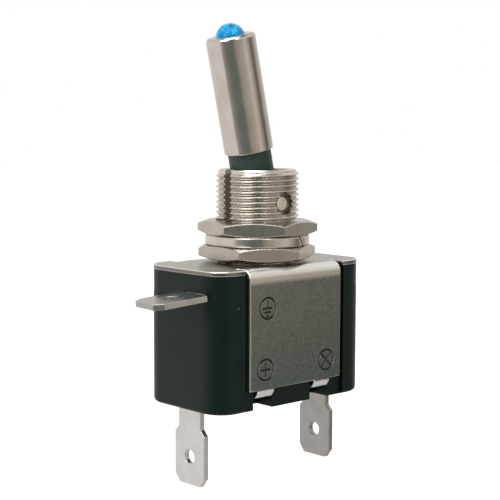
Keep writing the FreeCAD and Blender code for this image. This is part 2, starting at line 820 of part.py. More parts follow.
def stop_post_top():
    """The top of the posts that the rocker's other wing stops on."""
    tilt = math.radians(rocker_lean)
    under = wing_height() - rocker_thickness
    reach = min(rocker_half_length, contact_offset + stop_post_length)
    return fulcrum_height + under * math.cos(tilt) - reach * math.sin(tilt) - stop_gap


def fixed_contact_button():
    tilt = math.radians(rocker_lean)
    lift = wing_height() - rocker_thickness - moving_contact_rim - dome_drop() + contact_dome_radius
    x = -(contact_offset * math.cos(tilt) + lift * math.sin(tilt))
    return upright_cylinder(contact_diameter / 2, power_arm_top(), fixed_contact_top(), x)


# Terminals

def blade_outline(length):
    """Half outlines of a blade: (distance from the tip, half width), tip first."""
    half = blade_width / 2
    neck = neck_width / 2
    return [
        (0, half - blade_tip_chamfer_across),
        (blade_tip_chamfer_along, half),
        (length - neck_length - shoulder_height, half),
        (length - neck_length, neck),
        (length, neck),
    ]


def hanging_blade(x):
    """The part of a bottom terminal below the housing, and its neck through the floor."""
    low = x - blade_thickness / 2
    points = blade_outline(blade_length) + [(floor_top - blade_tip, neck_width / 2)]
    near = [vector(low, half, blade_tip + along) for along, half in points]
    far = [vector(low, -half, blade_tip + along) for along, half in reversed(points)]
    corners = near + far
    blade = Part.Face(Part.makePolygon(corners + corners[:1])).extrude(X_AXIS * blade_thickness)
    hole = Part.makeCylinder(blade_hole_diameter / 2, blade_thickness + 2 * PAST,
                             vector(low - PAST, 0, blade_tip + blade_hole_from_tip), X_AXIS)
    return blade.cut(hole)


def power_terminal():
    x = -half_blade
    outer = x - blade_thickness / 2
    half = neck_width / 2
    riser = block(outer, outer + blade_thickness, -half, half, floor_top, power_arm_top())
    arm = block(outer, -arm_end, -half, half, power_arm_bottom(), power_arm_top())
    inside = riser.fuse(arm).removeSplitter()
    knee = edges_near(inside, lambda box: box.YLength > half and box.XLength + box.ZLength < blade_thickness / 10
                      and box.XMax < outer + blade_thickness / 10 and box.ZMin > power_arm_top() - blade_thickness / 10)
    inside = inside.makeFillet(blade_thickness, knee)
    return hanging_blade(x).fuse(inside).removeSplitter()


def load_terminal():
    x = half_blade
    outer = x + blade_thickness / 2
    half = neck_width / 2
    post = blade_thickness / 2
    strip = block(-post, outer, -half, half, floor_top, floor_top + blade_thickness)
    upstand = block(-post, post, -half, half, floor_top, fulcrum_height)
    crown = Part.makeCylinder(post, 2 * half, vector(0, -half, fulcrum_height), Y_AXIS)
    inside = strip.fuse([upstand, crown]).removeSplitter()
    return hanging_blade(x).fuse(inside).removeSplitter()


def ground_terminal():
    half = blade_width / 2
    wall = -half_length
    points = blade_outline(earth_blade_length)[:2] + [(earth_blade_length, half)]
    near = [vector(along - earth_blade_length, half_span, 0) for along, half_span in points]
    far = [vector(along - earth_blade_length, -half_span, 0) for along, half_span in reversed(points)]
    corners = near + far
    blade = Part.Face(Part.makePolygon(corners + corners[:1])).extrude(Z_AXIS * blade_thickness)
    hole = upright_cylinder(blade_hole_diameter / 2, -PAST, blade_thickness + PAST,
                            earth_hole_from_tip - earth_blade_length)
    blade = blade.cut(hole)
    blade = turned(blade, -earth_droop, Y_AXIS, ORIGIN)
    blade = turned(blade, -earth_swing, Z_AXIS, ORIGIN)
    blade.translate(vector(wall - earth_bend_stand_off, earth_offset, parting_height))
    neck = earth_neck_width / 2
    root = block(wall - earth_bend_stand_off, -cavity_half_length, earth_offset - neck, earth_offset + neck,
                 parting_height, parting_height + blade_thickness)
    finger_half = earth_finger_width / 2
    top = parting_height + blade_thickness
    tip_top = swage_bottom - earth_contact_gap
    finger = prism_along_y([
        (-cavity_half_length, parting_height),
        (-earth_knee, parting_height),
        (-earth_finger_end, tip_top - blade_thickness),
        (-earth_finger_end, tip_top),
        (-earth_knee, top),
        (-cavity_half_length, top),
    ], finger_half, earth_offset)
    return blade.fuse([root, finger]).removeSplitter()


PIECES = {
    "threaded_bushing": threaded_bushing,
    "pivot_pin": pivot_pin,
    "upper_nut": lambda: hex_nut(upper_nut_top, upper_nut_turn),
    "lock_washer": lock_washer,
    "lower_nut": lambda: hex_nut(lower_nut_top, lower_nut_turn),
    "mounting_bracket": mounting_bracket,
    "upper_housing": upper_housing,
    "lower_housing": lower_housing,
    "toggle_lever": toggle_lever,
    "lever_sleeve": lever_sleeve,
    "led_lamp": led_lamp,
    "led_anode_lead": led_anode_lead,
    "led_cathode_lead": led_cathode_lead,
    "led_resistor": led_resistor,
    "plunger": plunger,
    "plunger_spring": plunger_spring,
    "rocker_contact": rocker_contact,
    "moving_contact_button": moving_contact_button,
    "fixed_contact_button": fixed_contact_button,
    "power_terminal": power_terminal,
    "load_terminal": load_terminal,
    "ground_terminal": ground_terminal,
}

os.makedirs("parts", exist_ok=True)
for name, make in PIECES.items():
    shape = make()
    shape.exportStep(os.path.join("parts", name + ".step"))
    box = shape.BoundBox
    print(f"{name:22s} solids {len(shape.Solids)} valid {shape.isValid()} volume {shape.Volume:9.3f}"
          f"  x {box.XMin:7.2f} {box.XMax:7.2f}  y {box.YMin:7.2f} {box.YMax:7.2f}  z {box.ZMin:7.2f} {box.ZMax:7.2f}")
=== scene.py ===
"""Dress the panel toggle switch: its finishes, its cut thread, and a plain pale studio."""

import math

import bpy
from mathutils import Matrix, Vector


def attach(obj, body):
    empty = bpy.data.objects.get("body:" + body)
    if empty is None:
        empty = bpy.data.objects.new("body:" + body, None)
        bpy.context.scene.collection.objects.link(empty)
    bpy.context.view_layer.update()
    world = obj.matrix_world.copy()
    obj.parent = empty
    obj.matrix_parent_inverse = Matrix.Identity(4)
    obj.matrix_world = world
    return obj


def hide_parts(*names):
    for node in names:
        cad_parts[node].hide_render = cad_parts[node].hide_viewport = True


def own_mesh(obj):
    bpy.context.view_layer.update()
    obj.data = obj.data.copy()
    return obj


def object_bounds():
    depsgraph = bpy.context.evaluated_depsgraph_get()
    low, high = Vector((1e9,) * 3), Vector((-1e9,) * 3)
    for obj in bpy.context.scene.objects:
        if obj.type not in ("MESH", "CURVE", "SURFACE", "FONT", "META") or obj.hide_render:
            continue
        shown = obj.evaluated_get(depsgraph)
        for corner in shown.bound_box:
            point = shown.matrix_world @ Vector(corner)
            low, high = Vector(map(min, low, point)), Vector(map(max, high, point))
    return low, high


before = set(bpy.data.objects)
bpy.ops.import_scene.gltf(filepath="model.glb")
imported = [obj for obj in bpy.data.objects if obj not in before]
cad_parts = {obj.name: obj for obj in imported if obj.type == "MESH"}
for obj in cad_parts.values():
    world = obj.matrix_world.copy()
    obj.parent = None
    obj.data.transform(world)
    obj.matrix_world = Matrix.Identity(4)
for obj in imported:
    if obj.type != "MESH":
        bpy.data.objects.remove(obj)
cad_low, cad_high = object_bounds()

bl_info = {
    "name": "Panel Toggle Switch",
    "version": (1, 0, 0),
    "blender": (4, 5, 0),
    "location": "3D View > Sidebar > Toggle Switch",
    "description": "Finishes for an illuminated panel toggle switch, and a plain studio around it",
    "category": "Object",
}

MM = 0.001

# Places on the switch, as the solids have them
PLATE_TOP = -5.95 * MM
PLATE_BOTTOM = -6.65 * MM
SWAGE_BOTTOM = -7.45 * MM
SWAGE_RADIUS = 6.2 * MM
NECK_RADIUS = 5.4 * MM
BUSHING_TOP = 7.3 * MM
PIVOT = Vector((0, 0, 2.56 * MM))
FLANGE_FACE = -8.25 * MM
FLANGE_FOOT = -22.8 * MM

# Depth of a metric thread, as a share of its pitch
THREAD_DEPTH = 0.541

# The part of the flange that holds the stamped marks, and how deep they are
MARKS_TOP = -8.2 * MM
MARKS_BOTTOM = -22.0 * MM
MARKS_REACH = 8.2 * MM
MARKS_DEPTH = 0.15 * MM

# An edge that bends by more than this is a sharp one
SHARP_ANGLE = math.radians(35)

# The photograph's viewpoint, from a camera fitted to the standard blades and thread
CAMERA_PLACE = Vector((-127.627, -137.398, 14.801)) * MM
CAMERA_BACK = Vector((-0.67297, -0.73262, 0.10189))
CAMERA_RIGHT = Vector((0.73668, -0.67623, 0.00342))
CAMERA_LENS = 93.93
SENSOR_WIDTH = 36.0
CAMERA_HEADING = math.atan2(CAMERA_BACK.y, CAMERA_BACK.x)


# Colours and nodes

def linear(hex_code):
    """Turn an sRGB hex value such as #8a8f92 to linear RGBA."""
    channels = [int(hex_code[start:start + 2], 16) / 255 for start in (1, 3, 5)]
    return (*[c / 12.92 if c <= 0.04045 else ((c + 0.055) / 1.055) ** 2.4 for c in channels], 1.0)


def per_metre(size_mm):
    """A texture scale that gives features of about that many millimetres."""
    return 1 / (size_mm * MM)


def add_node(tree, kind, inputs=None, **options):
    """Add a node, set its options, and give each named input a value or a socket to follow."""
    node = tree.nodes.new(kind)
    for option, value in options.items():
        setattr(node, option, value)
    for name, value in (inputs or {}).items():
        if isinstance(value, bpy.types.NodeSocket):
            tree.links.new(value, node.inputs[name])
        else:
            node.inputs[name].default_value = value
    return node


def set_stops(ramp_node, stops, interpolation="LINEAR"):
    """Give a colour ramp its (position, colour) stops."""
    ramp = ramp_node.color_ramp
    ramp.interpolation = interpolation
    while len(ramp.elements) > 1:
        ramp.elements.remove(ramp.elements[-1])
    ramp.elements[0].position, ramp.elements[0].color = stops[0]
    for position, shade in stops[1:]:
        ramp.elements.new(position).color = shade


def mask(tree, limits):
    """A mask that is 1 where every limit holds. Each limit is a value, the amount at which the mask
    is still 0, and the amount at which it reaches 1."""
    whole = None
    for value, outside, inside in limits:
        share = add_node(tree, "ShaderNodeMapRange", {
            "Value": value, "From Min": outside, "From Max": inside}).outputs[0]
        if whole is not None:
            share = add_node(tree, "ShaderNodeMath", {0: whole, 1: share}, operation="MULTIPLY").outputs[0]
        whole = share
    return whole


def layered(tree, colour, layers):
    """Lay colours over the first one, each where its own mask is 1."""
    for share, above in layers:
        colour = add_node(tree, "ShaderNodeMix", {0: share, 6: colour, 7: above}, data_type="RGBA").outputs[2]
    return colour


def new_material(name):
    """An empty node material, and its node tree."""
    material = bpy.data.materials.new(name)
    material.use_nodes = True
    material.node_tree.nodes.clear()
    return material, material.node_tree


def close_material(tree, shader):
    """Send the shader to the material's output."""
    add_node(tree, "ShaderNodeOutputMaterial", {"Surface": shader.outputs[0]})


def rounded_edges_and_highlight(tree, radius_mm):
    """The normal with its edges rounded over, and a mask that is 1 along those edges, where a painted
    highlight goes.
    """
    rounded = add_node(tree, "ShaderNodeBevel", {"Radius": radius_mm * MM}).outputs[0]
    plain = add_node(tree, "ShaderNodeNewGeometry").outputs["Normal"]
    agreement = add_node(tree, "ShaderNodeVectorMath", {0: rounded, 1: plain}, operation="DOT_PRODUCT")
    return rounded, mask(tree, [(agreement.outputs["Value"], 0.995, 0.85)])


# Metals

def nickel_plate(name, tone, dull_tone, roughness, roughness_spread, grain_mm, dent_mm, dent_depth_mm,
                 direction=(1, 1, 1)):
    """Bright nickel over turned or stamped metal. Nickel is a warm grey. Its plating follows the
    tool marks under it and builds up at the edges, so reflections are soft; the edges carry a painted
    highlight."""
    material, tree = new_material(name)
    place = add_node(tree, "ShaderNodeTexCoord").outputs["Object"]
    drawn = add_node(tree, "ShaderNodeMapping", {"Vector": place, "Scale": direction}).outputs[0]
    cloud = add_node(tree, "ShaderNodeTexNoise", {
        "Vector": place, "Scale": per_metre(3.0), "Detail": 3.0}).outputs["Fac"]
    grain = add_node(tree, "ShaderNodeTexNoise", {
        "Vector": drawn, "Scale": per_metre(grain_mm), "Detail": 3.0, "Roughness": 0.6}).outputs["Fac"]
    dents = add_node(tree, "ShaderNodeTexNoise", {
        "Vector": drawn, "Scale": per_metre(dent_mm), "Detail": 1.0}).outputs["Fac"]
    tones = add_node(tree, "ShaderNodeValToRGB", {"Fac": cloud})
    set_stops(tones, [(0.35, linear(dull_tone)), (0.65, linear(tone))])
    rough = add_node(tree, "ShaderNodeMapRange", {
        "Value": grain, "From Min": 0.3, "From Max": 0.7,
        "To Min": roughness - roughness_spread, "To Max": roughness + roughness_spread}).outputs[0]
    rounded, edges = rounded_edges_and_highlight(tree, 0.12)
    fine = add_node(tree, "ShaderNodeBump", {
        "Height": grain, "Strength": 0.5, "Distance": dent_depth_mm * 0.4 * MM, "Normal": rounded}).outputs[0]
    relief = add_node(tree, "ShaderNodeBump", {
        "Height": dents, "Strength": 0.6, "Distance": dent_depth_mm * MM, "Normal": fine}).outputs[0]
    # The edges get a painted highlight in the base colour
    shader = add_node(tree, "ShaderNodeBsdfPrincipled", {
        "Base Color": layered(tree, tones.outputs[0], [(edges, linear("#f4efe8"))]),
        "Metallic": 1.0, "Roughness": rough, "Normal": relief})
    close_material(tree, shader)
    return material


def plated_thread(crest_radius, root_radius):
    """Nickel over a thread cut in brass. Its roots are painted darker as shade, and its edges carry a
    painted highlight. The flanks glitter in short broken streaks, because the plate follows the cutter's
    marks."""
    material, tree = new_material("Nickel-plated turned brass")
    place = add_node(tree, "ShaderNodeTexCoord").outputs["Object"]
    flat = add_node(tree, "ShaderNodeVectorMath", {0: place, 1: (1, 1, 0)}, operation="MULTIPLY").outputs[0]
    radius = add_node(tree, "ShaderNodeVectorMath", {0: flat}, operation="LENGTH").outputs["Value"]
    height = add_node(tree, "ShaderNodeSeparateXYZ", {"Vector": place}).outputs["Z"]
    cloud = add_node(tree, "ShaderNodeTexNoise", {
        "Vector": place, "Scale": per_metre(2.0), "Detail": 3.0}).outputs["Fac"]
    chatter = add_node(tree, "ShaderNodeTexNoise", {
        "Vector": place, "Scale": per_metre(0.45), "Detail": 3.0, "Roughness": 0.6}).outputs["Fac"]
    # Painted shade in the thread's roots, fading out towards the rim
    root = mask(tree, [
        (radius, crest_radius - 0.05 * MM, root_radius),
        (height, BUSHING_TOP - 0.5 * MM, BUSHING_TOP - 0.8 * MM)])
    rounded, edges = rounded_edges_and_highlight(tree, 0.03)
    # The cloud is the plate's own tone; the roots get painted shade and the edges a painted highlight
    tone = layered(tree, linear("#ded8cf"), [
        (mask(tree, [(cloud, 0.35, 0.65)]), linear("#eee8e0")),
        (root, linear("#bab4aa")),
        (edges, linear("#f4efe8"))])
    rough = add_node(tree, "ShaderNodeMapRange", {
        "Value": chatter, "From Min": 0.3, "From Max": 0.7, "To Min": 0.20, "To Max": 0.30}).outputs[0]
    relief = add_node(tree, "ShaderNodeBump", {
        "Height": chatter, "Strength": 0.6, "Distance": 0.010 * MM, "Normal": rounded}).outputs[0]
    shader = add_node(tree, "ShaderNodeBsdfPrincipled", {
        "Base Color": tone, "Metallic": 1.0, "Roughness": rough, "Normal": relief})
    close_material(tree, shader)
    return material


def bracket_steel():
    """Cold-rolled steel, barrel-plated. Its edges, fold, lip, tabs and cut sides carry painted highlights,
    the plate's rim painted shade, and the flanges' flat faces a fine mottled grain under painted shade
    that deepens away from the fold. The stamped marks are painted dark as shade."""
    material, tree = new_material("Barrel-plated cold-rolled steel")
    place = add_node(tree, "ShaderNodeTexCoord").outputs["Object"]
    spot = add_node(tree, "ShaderNodeSeparateXYZ", {"Vector": place}).outputs
    plain = add_node(tree, "ShaderNodeNewGeometry").outputs["Normal"]
    facing = add_node(tree, "ShaderNodeSeparateXYZ", {"Vector": plain}).outputs
    across, endways, sideways, upright = [
        add_node(tree, "ShaderNodeMath", {0: value}, operation="ABSOLUTE").outputs[0]
        for value in (spot["X"], facing["X"], facing["Y"], facing["Z"])]

    # The plate's rim, painted in shade, and its upper lip, then the folded sheet and what is stamped in it
    rim = mask(tree, [
        (upright, 0.5, 0.2),
        (spot["Z"], PLATE_BOTTOM - 0.05 * MM, PLATE_BOTTOM)])
    lip = mask(tree, [
        (upright, 0.99, 0.93),
        (upright, 0.35, 0.50),
        (spot["Z"], PLATE_BOTTOM, PLATE_BOTTOM + 0.1 * MM)])
    sheared = mask(tree, [
        (endways, 0.5, 0.9),
        (spot["Z"], PLATE_BOTTOM, PLATE_BOTTOM - 0.05 * MM)])
    fold = mask(tree, [(sideways, 0.10, 0.35), (rim, 1, 0)])
    flange = mask(tree, [
        (sideways, 0.90, 1.0),
        (spot["Z"], MARKS_TOP + 0.6 * MM, MARKS_TOP)])
    tab = mask(tree, [(spot["Z"], FLANGE_FOOT, FLANGE_FOOT - 0.1 * MM)])
    stamped = mask(tree, [
        (spot["Z"], MARKS_TOP, MARKS_TOP - 0.2 * MM),
        (spot["Z"], MARKS_BOTTOM, MARKS_BOTTOM + 0.2 * MM),
        (across, MARKS_REACH, MARKS_REACH - 0.2 * MM)])
    # The marks are painted dark, as shade in their grooves, and made rougher
    marked = mask(tree, [
        (stamped, 0, 1),
        (spot["Y"], FLANGE_FACE + 0.001 * MM, FLANGE_FACE + 0.012 * MM),
        (spot["Y"], FLANGE_FACE + MARKS_DEPTH + 0.01 * MM, FLANGE_FACE + MARKS_DEPTH - 0.01 * MM)])
    rounded, edges = rounded_edges_and_highlight(tree, 0.15)
    edges = mask(tree, [(edges, 0, 1), (stamped, 1, 0)])

    mottle = add_node(tree, "ShaderNodeTexNoise", {
        "Vector": place, "Scale": per_metre(0.8), "Detail": 4.0, "Roughness": 0.65}).outputs["Fac"]
    grain = add_node(tree, "ShaderNodeTexNoise", {
        "Vector": place, "Scale": per_metre(0.40), "Detail": 4.0, "Roughness": 0.7}).outputs["Fac"]
    tones = add_node(tree, "ShaderNodeValToRGB", {"Fac": mottle})
    set_stops(tones, [(0.30, linear("#a5a29c")), (0.52, linear("#b1aea8")), (0.72, linear("#bdbab4"))])
    speckled = add_node(tree, "ShaderNodeValToRGB", {"Fac": grain})
    set_stops(speckled, [(0.34, linear("#dadada")), (0.50, linear("#ededed")), (0.64, linear("#ffffff"))])
    # Painted shade: the flange's face is darker than the plate, and darker still towards its foot
    lower = mask(tree, [(spot["Z"], MARKS_TOP, MARKS_BOTTOM)])
    face = layered(tree, linear("#a2a39d"), [(lower, linear("#89938d"))])
    face = add_node(tree, "ShaderNodeMix", {0: 1.0, 6: face, 7: speckled.outputs[0]},
                    data_type="RGBA", blend_type="MULTIPLY").outputs[2]
    # Painted highlights on the fold, lip, tabs, cut sides and edges, and painted shade on the rim and in the
    # marks
    tone = layered(tree, tones.outputs[0], [
        (fold, linear("#f2ece1")),
        (flange, face),
        (rim, linear("#8b8881")),
        (lip, linear("#ffffff")),
        (marked, linear("#44473f")),
        (tab, linear("#f6f4f4")),
        (sheared, linear("#f0ece4")),
        (edges, linear("#ffffff"))])

    rough = add_node(tree, "ShaderNodeMapRange", {
        "Value": grain, "From Min": 0.3, "From Max": 0.7, "To Min": 0.26, "To Max": 0.34}).outputs[0]
    rough = add_node(tree, "ShaderNodeMath", {
        0: marked, 1: 0.35, 2: rough}, operation="MULTIPLY_ADD").outputs[0]
    eased = add_node(tree, "ShaderNodeMix", {0: stamped, 4: rounded, 5: plain}, data_type="VECTOR").outputs[1]
    relief = add_node(tree, "ShaderNodeBump", {
        "Height": grain, "Strength": 0.4, "Distance": 0.005 * MM, "Normal": eased}).outputs[0]
    shader = add_node(tree, "ShaderNodeBsdfPrincipled", {
        "Base Color": tone, "Metallic": 1.0, "Roughness": rough, "Normal": relief})
    close_material(tree, shader)
    return material


def tinned_brass(name, tone, dull_tone, roughness):
    """Half-hard brass strip, tin-plated. Tin is a cool white grey with a satin orange peel, and
    it dulls where it has been handled. Its edges carry a painted highlight."""
    material, tree = new_material(name)
    place = add_node(tree, "ShaderNodeTexCoord").outputs["Object"]
    peel = add_node(tree, "ShaderNodeTexNoise", {
        "Vector": place, "Scale": per_metre(0.45), "Detail": 1.0}).outputs["Fac"]
    cloud = add_node(tree, "ShaderNodeTexNoise", {
        "Vector": place, "Scale": per_metre(2.0), "Detail": 3.0}).outputs["Fac"]
    tones = add_node(tree, "ShaderNodeValToRGB", {"Fac": cloud})
    set_stops(tones, [(0.35, linear(dull_tone)), (0.65, linear(tone))])
    rough = add_node(tree, "ShaderNodeMapRange", {
        "Value": cloud, "From Min": 0.3, "From Max": 0.7,
        "To Min": roughness - 0.05, "To Max": roughness + 0.05}).outputs[0]
    rounded, edges = rounded_edges_and_highlight(tree, 0.12)
    relief = add_node(tree, "ShaderNodeBump", {
        "Height": peel, "Strength": 0.5, "Distance": 0.008 * MM, "Normal": rounded}).outputs[0]
    # The edges get a painted highlight in the base colour
    shader = add_node(tree, "ShaderNodeBsdfPrincipled", {
        "Base Color": layered(tree, tones.outputs[0], [(edges, linear("#f8f6f4"))]),
        "Metallic": 1.0, "Roughness": rough, "Normal": relief})
    close_material(tree, shader)
    return material


def turned_metal(name, tone, dull_tone, roughness, grain_mm):
    """Bare metal as it leaves the tool, with a faint tarnish between the bright places."""
    material, tree = new_material(name)
    place = add_node(tree, "ShaderNodeTexCoord").outputs["Object"]
    cloud = add_node(tree, "ShaderNodeTexNoise", {
        "Vector": place, "Scale": per_metre(0.8), "Detail": 3.0}).outputs["Fac"]
    grain = add_node(tree, "ShaderNodeTexNoise", {
        "Vector": place, "Scale": per_metre(grain_mm), "Detail": 2.0}).outputs["Fac"]
    tones = add_node(tree, "ShaderNodeValToRGB", {"Fac": cloud})
    set_stops(tones, [(0.35, linear(dull_tone)), (0.65, linear(tone))])
    relief = add_node(tree, "ShaderNodeBump", {
        "Height": grain, "Strength": 0.5, "Distance": 0.02 * MM}).outputs[0]
    shader = add_node(tree, "ShaderNodeBsdfPrincipled", {
        "Base Color": tones.outputs[0], "Metallic": 1.0, "Roughness": roughness, "Normal": relief})
    close_material(tree, shader)
    return material


# Plastics

def moulded_nylon(body, shade):
    """Black glass-filled nylon, moulded. Fibres near the skin leave it satin rather than glossy,
    and handling leaves a few pale scuffs."""
    material, tree = new_material("Moulded black glass-filled nylon")
    place = add_node(tree, "ShaderNodeTexCoord").outputs["Object"]
    cloud = add_node(tree, "ShaderNodeTexNoise", {
        "Vector": place, "Scale": per_metre(3.5), "Detail": 3.0}).outputs["Fac"]
    skin = add_node(tree, "ShaderNodeTexNoise", {
        "Vector": place, "Scale": per_metre(0.4), "Detail": 3.0, "Roughness": 0.6}).outputs["Fac"]
    patches = add_node(tree, "ShaderNodeTexNoise", {
        "Vector": place, "Scale": per_metre(5.0), "Detail": 1.0}).outputs["Fac"]
    specks = add_node(tree, "ShaderNodeTexVoronoi", {
        "Vector": place, "Scale": per_metre(1.6)}).outputs["Distance"]
    tones = add_node(tree, "ShaderNodeValToRGB", {"Fac": cloud})
    set_stops(tones, [(0.35, shade), (0.65, body)])
    scuffs = mask(tree, [(specks, 0.10, 0.05), (patches, 0.58, 0.66)])
    rough = add_node(tree, "ShaderNodeMapRange", {
        "Value": skin, "From Min": 0.3, "From Max": 0.7, "To Min": 0.36, "To Max": 0.48}).outputs[0]
    relief = add_node(tree, "ShaderNodeBump", {
        "Height": skin, "Strength": 0.4, "Distance": 0.006 * MM}).outputs[0]
    shader = add_node(tree, "ShaderNodeBsdfPrincipled", {
        "Base Color": layered(tree, tones.outputs[0], [(scuffs, linear("#5c6863"))]),
        "Roughness": rough, "IOR": 1.45, "Specular Tint": linear("#bfe0d3"), "Normal": relief})
    close_material(tree, shader)
    return material


def moulded_phenolic(body, shade):
    """Black phenolic, moulded: denser and a little greyer than the nylon, with an even satin."""
    material, tree = new_material("Moulded black phenolic")
    place = add_node(tree, "ShaderNodeTexCoord").outputs["Object"]
    cloud = add_node(tree, "ShaderNodeTexNoise", {
        "Vector": place, "Scale": per_metre(2.0), "Detail": 3.0}).outputs["Fac"]
    skin = add_node(tree, "ShaderNodeTexNoise", {
        "Vector": place, "Scale": per_metre(0.25), "Detail": 2.0}).outputs["Fac"]
    tones = add_node(tree, "ShaderNodeValToRGB", {"Fac": cloud})
    set_stops(tones, [(0.35, shade), (0.65, body)])
    relief = add_node(tree, "ShaderNodeBump", {
        "Height": skin, "Strength": 0.3, "Distance": 0.006 * MM}).outputs[0]
    shader = add_node(tree, "ShaderNodeBsdfPrincipled", {
        "Base Color": tones.outputs[0], "Roughness": 0.45, "IOR": 1.5,
        "Specular Tint": linear("#d6e8e0"), "Normal": relief})
    close_material(tree, shader)
    return material


def lamp_epoxy(deep, body, pale):
    """Blue dyed epoxy, cast. It is clear enough for light to pool in it, which is painted as paler
    cyan patches under the dome, and it has a faint painted glow, though the lamp is not lit."""
    material, tree = new_material("Cast blue epoxy")
    place = add_node(tree, "ShaderNodeTexCoord").outputs["Object"]
    pools = add_node(tree, "ShaderNodeTexNoise", {
        "Vector": place, "Scale": per_metre(0.9), "Detail": 2.0, "Roughness": 0.6}).outputs["Fac"]
    tones = add_node(tree, "ShaderNodeValToRGB", {"Fac": pools})
    set_stops(tones, [(0.40, deep), (0.56, body), (0.70, pale)])
    # A faint painted glow in the epoxy's own colours, though the lamp is not lit
    shader = add_node(tree, "ShaderNodeBsdfPrincipled", {
        "Base Color": tones.outputs[0], "Roughness": 0.18, "IOR": 1.5, "Specular Tint": linear("#8ccbe8"),
        "Subsurface Weight": 0.4, "Subsurface Radius": (0.2, 0.6, 1.0), "Subsurface Scale": 0.8 * MM,
        "Emission Color": tones.outputs[0], "Emission Strength": 0.12})
    close_material(tree, shader)
    return material


def resistor_lacquer():
    """Tan lacquer over a ceramic rod, dipped, so it is glossy and a little uneven."""
    material, tree = new_material("Dipped tan lacquer")
    place = add_node(tree, "ShaderNodeTexCoord").outputs["Object"]
    cloud = add_node(tree, "ShaderNodeTexNoise", {
        "Vector": place, "Scale": per_metre(1.0), "Detail": 2.0}).outputs["Fac"]
    tones = add_node(tree, "ShaderNodeValToRGB", {"Fac": cloud})
    set_stops(tones, [(0.35, linear("#b08b5a")), (0.65, linear("#c49d6a"))])
    shader = add_node(tree, "ShaderNodeBsdfPrincipled", {
        "Base Color": tones.outputs[0], "Roughness": 0.3})
    close_material(tree, shader)
    return material


# Helpers for the pieces

def geometry_group(name):
    """An empty geometry node group for use as a modifier, and the node that its mesh comes in by."""
    group = bpy.data.node_groups.new(name, "GeometryNodeTree")
    group.interface.new_socket("Geometry", in_out="INPUT", socket_type="NodeSocketGeometry")
    group.interface.new_socket("Geometry", in_out="OUTPUT", socket_type="NodeSocketGeometry")
    return group, add_node(group, "NodeGroupInput")


def smoothing_group():
    """Shades a piece smooth."""
    group, start = geometry_group("Shade smooth")
    smooth = add_node(group, "GeometryNodeSetShadeSmooth", {"Geometry": start.outputs[0]})
    add_node(group, "NodeGroupOutput", {0: smooth.outputs[0]})
    return group


def unmarked_edges():
    """Weights a bracket's sharp edges for rounding, but leaves the stamped marks and the tabs crisp."""
    group, start = geometry_group("Edges outside the marks")
    bend = add_node(group, "GeometryNodeInputMeshEdgeAngle").outputs["Unsigned Angle"]
    place = add_node(group, "GeometryNodeInputPosition").outputs[0]
    spot = add_node(group, "ShaderNodeSeparateXYZ", {"Vector": place}).outputs
    across = add_node(group, "ShaderNodeMath", {0: spot["X"]}, operation="ABSOLUTE").outputs[0]
    marks = mask(group, [
        (spot["Y"], FLANGE_FACE + 2 * MARKS_DEPTH, FLANGE_FACE + MARKS_DEPTH + 0.05 * MM),
        (spot["Z"], MARKS_TOP + 0.1 * MM, MARKS_TOP),
        (spot["Z"], MARKS_BOTTOM - 0.1 * MM, MARKS_BOTTOM),
        (across, MARKS_REACH + 0.1 * MM, MARKS_REACH)])
    tabs = mask(group, [(spot["Z"], FLANGE_FOOT - 0.05 * MM, FLANGE_FOOT - 0.10 * MM)])
    plain = mask(group, [(marks, 1, 0), (tabs, 1, 0)])
    folded = mask(group, [(bend, SHARP_ANGLE - math.radians(1), SHARP_ANGLE)])
    stored = add_node(group, "GeometryNodeStoreNamedAttribute", {
        "Geometry": start.outputs[0], "Name": "bevel_weight_edge",
        "Value": mask(group, [(folded, 0, 1), (plain, 0, 1)])}, data_type="FLOAT", domain="EDGE")
    crisp = add_node(group, "GeometryNodeSetShadeSmooth", {
        "Geometry": stored.outputs[0], "Selection": mask(group, [(folded, 0, 1), (plain, 1, 0)]),
        "Shade Smooth": False}, domain="EDGE")
    add_node(group, "NodeGroupOutput", {0: crisp.outputs[0]})
    return group


def round_edges(piece, rounding, chosen):
    """Weld a piece's facets, round its edges and even its shading, all as modifiers. The edges are
    the sharp ones, or those that the chosen node group gives a weight."""
    weld = piece.modifiers.new("Weld", "WELD")
    weld.merge_threshold = 0.0005 * MM
    flatten = piece.modifiers.new("Flatten", "DECIMATE")
    flatten.decimate_type = "DISSOLVE"
    flatten.angle_limit = math.radians(0.3)
    if chosen:
        piece.modifiers.new("Choose edges", "NODES").node_group = chosen
    if rounding:
        bevel = piece.modifiers.new("Round", "BEVEL")
        bevel.width = rounding
        bevel.segments = 3
        bevel.limit_method = "WEIGHT" if chosen else "ANGLE"
        bevel.angle_limit = SHARP_ANGLE
        bevel.use_clamp_overlap = chosen is None
        bevel.miter_outer = "MITER_ARC"
    smooth = bpy.data.node_groups.get("Shade smooth") or smoothing_group()
    piece.modifiers.new("Smooth", "NODES").node_group = smooth
    normals = piece.modifiers.new("Normals", "WEIGHTED_NORMAL")
    normals.keep_sharp = True


def dress(names, material, rounding=0.0, chosen=None):
    """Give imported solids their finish, and round their sharp edges, or those that a chosen group weights."""
    for name in names:
        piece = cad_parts[name]
        piece.material_slots[0].material = material
        round_edges(piece, rounding, chosen)


def closed_mesh(name, rings):
    """A skin over rings of points. Each ring ends on its first point, and the last ring on the first."""
    count = len(rings[0])
    points = [point for ring in rings for point in ring]
    faces = []
    for ring in range(len(rings) - 1):
        for column in range(count - 1):
            first = ring * count + column
            faces.append((first, first + 1, first + 1 + count, first + count))
    mesh = bpy.data.meshes.new(name)
    mesh.from_pydata(points, [], faces)
    piece = bpy.data.objects.new(name, mesh)
    bpy.context.scene.collection.objects.link(piece)
    return piece


